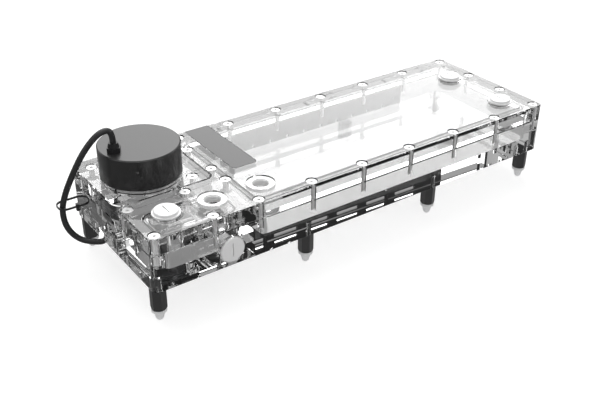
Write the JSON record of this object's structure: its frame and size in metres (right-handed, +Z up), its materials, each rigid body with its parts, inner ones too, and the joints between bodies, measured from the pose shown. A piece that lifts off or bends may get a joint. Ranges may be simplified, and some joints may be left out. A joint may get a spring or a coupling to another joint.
{
  "type": "coolant pump reservoir",
  "caption": "Long clear acrylic coolant reservoir on hexagon feet, with a capped pump in one corner, threaded ports, screw plugs and a black cable.",
  "frame": {"origin": "centre of the block's underside", "axes": "+X along the length away from the pump, +Y to the pump's long side, +Z up"},
  "size_m": [0.4046, 0.1325, 0.1147],
  "materials": {
    "acrylic": "clear, flame polished",
    "screw_steel": "machined",
    "bright_metal": "satin nickel",
    "collar_metal": "bright turned",
    "cap_black": "black anodised, satin",
    "trim_dark": "dark anodised, fine grain",
    "gland_black": "moulded",
    "seal_rubber": "smooth",
    "cable_rubber": "matt",
    "foot_black": "black, satin",
    "foot_clear": "translucent, matt",
    "motor_plastic": "moulded",
    "rotor_plastic": "moulded",
    "lamination": "laminated",
    "copper": "enamelled wire",
    "board_green": "lacquered",
    "magnet": "plain",
    "bearing": "ground"
  },
  "bodies": {
    "reservoir": {"tank_body": "acrylic", "lid_plate": "acrylic", "pump_plate": "acrylic", "lid_screws": "screw_steel", "pump_plate_screws": "screw_steel", "port_ring_outlet": "bright_metal", "port_ring_inlet": "bright_metal", "cap_collar": "collar_metal", "pump_cap": "cap_black", "trim_plate": "trim_dark", "cable_gland": "gland_black", "gland_nut": "gland_black", "cable_connector": "gland_black", "cable_tie": "gland_black", "lid_gasket": "seal_rubber", "outlet_gasket": "seal_rubber", "pump_seal": "seal_rubber", "pump_cable": "cable_rubber", "foot_standoffs": "foot_black", "back_strip": "foot_black", "back_strip_screws": "foot_black", "foot_tips": "foot_clear", "motor_can": "motor_plastic", "motor_shell": "motor_plastic", "stator_core": "lamination", "stator_coils": "copper", "control_board": "board_green", "bearing_pin": "bearing"},
    "rotor": {"impeller": "rotor_plastic", "rotor_magnet": "magnet", "bearing_bush": "bearing"},
    "pocket_plug_unit": {"pocket_plug": "bright_metal", "pocket_plug_seal": "seal_rubber"},
    "fill_plug_near_unit": {"fill_plug_near": "bright_metal", "fill_plug_near_seal": "seal_rubber"},
    "fill_plug_far_unit": {"fill_plug_far": "bright_metal", "fill_plug_far_seal": "seal_rubber"},
    "side_plug_unit": {"side_plug": "bright_metal", "side_plug_seal": "seal_rubber"}
  },
  "joints": [
    {"name": "rotor_spin", "type": "hinge", "parent": "reservoir", "child": "rotor", "pos_m": [-0.1507, 0.0253, 0], "axis": [0, 0, 1], "continuous": true},
    {"name": "pocket_plug_travel", "type": "slide", "parent": "reservoir", "child": "pocket_plug_unit", "axis": [0, 0, 1], "range_m": [0, 0.0105]},
    {"name": "fill_plug_near_travel", "type": "slide", "parent": "reservoir", "child": "fill_plug_near_unit", "axis": [0, 0, 1], "range_m": [0, 0.0105]},
    {"name": "fill_plug_far_travel", "type": "slide", "parent": "reservoir", "child": "fill_plug_far_unit", "axis": [0, 0, 1], "range_m": [0, 0.0105]},
    {"name": "side_plug_travel", "type": "slide", "parent": "reservoir", "child": "side_plug_unit", "axis": [0, -1, 0], "range_m": [0, 0.0105]}
  ]
}
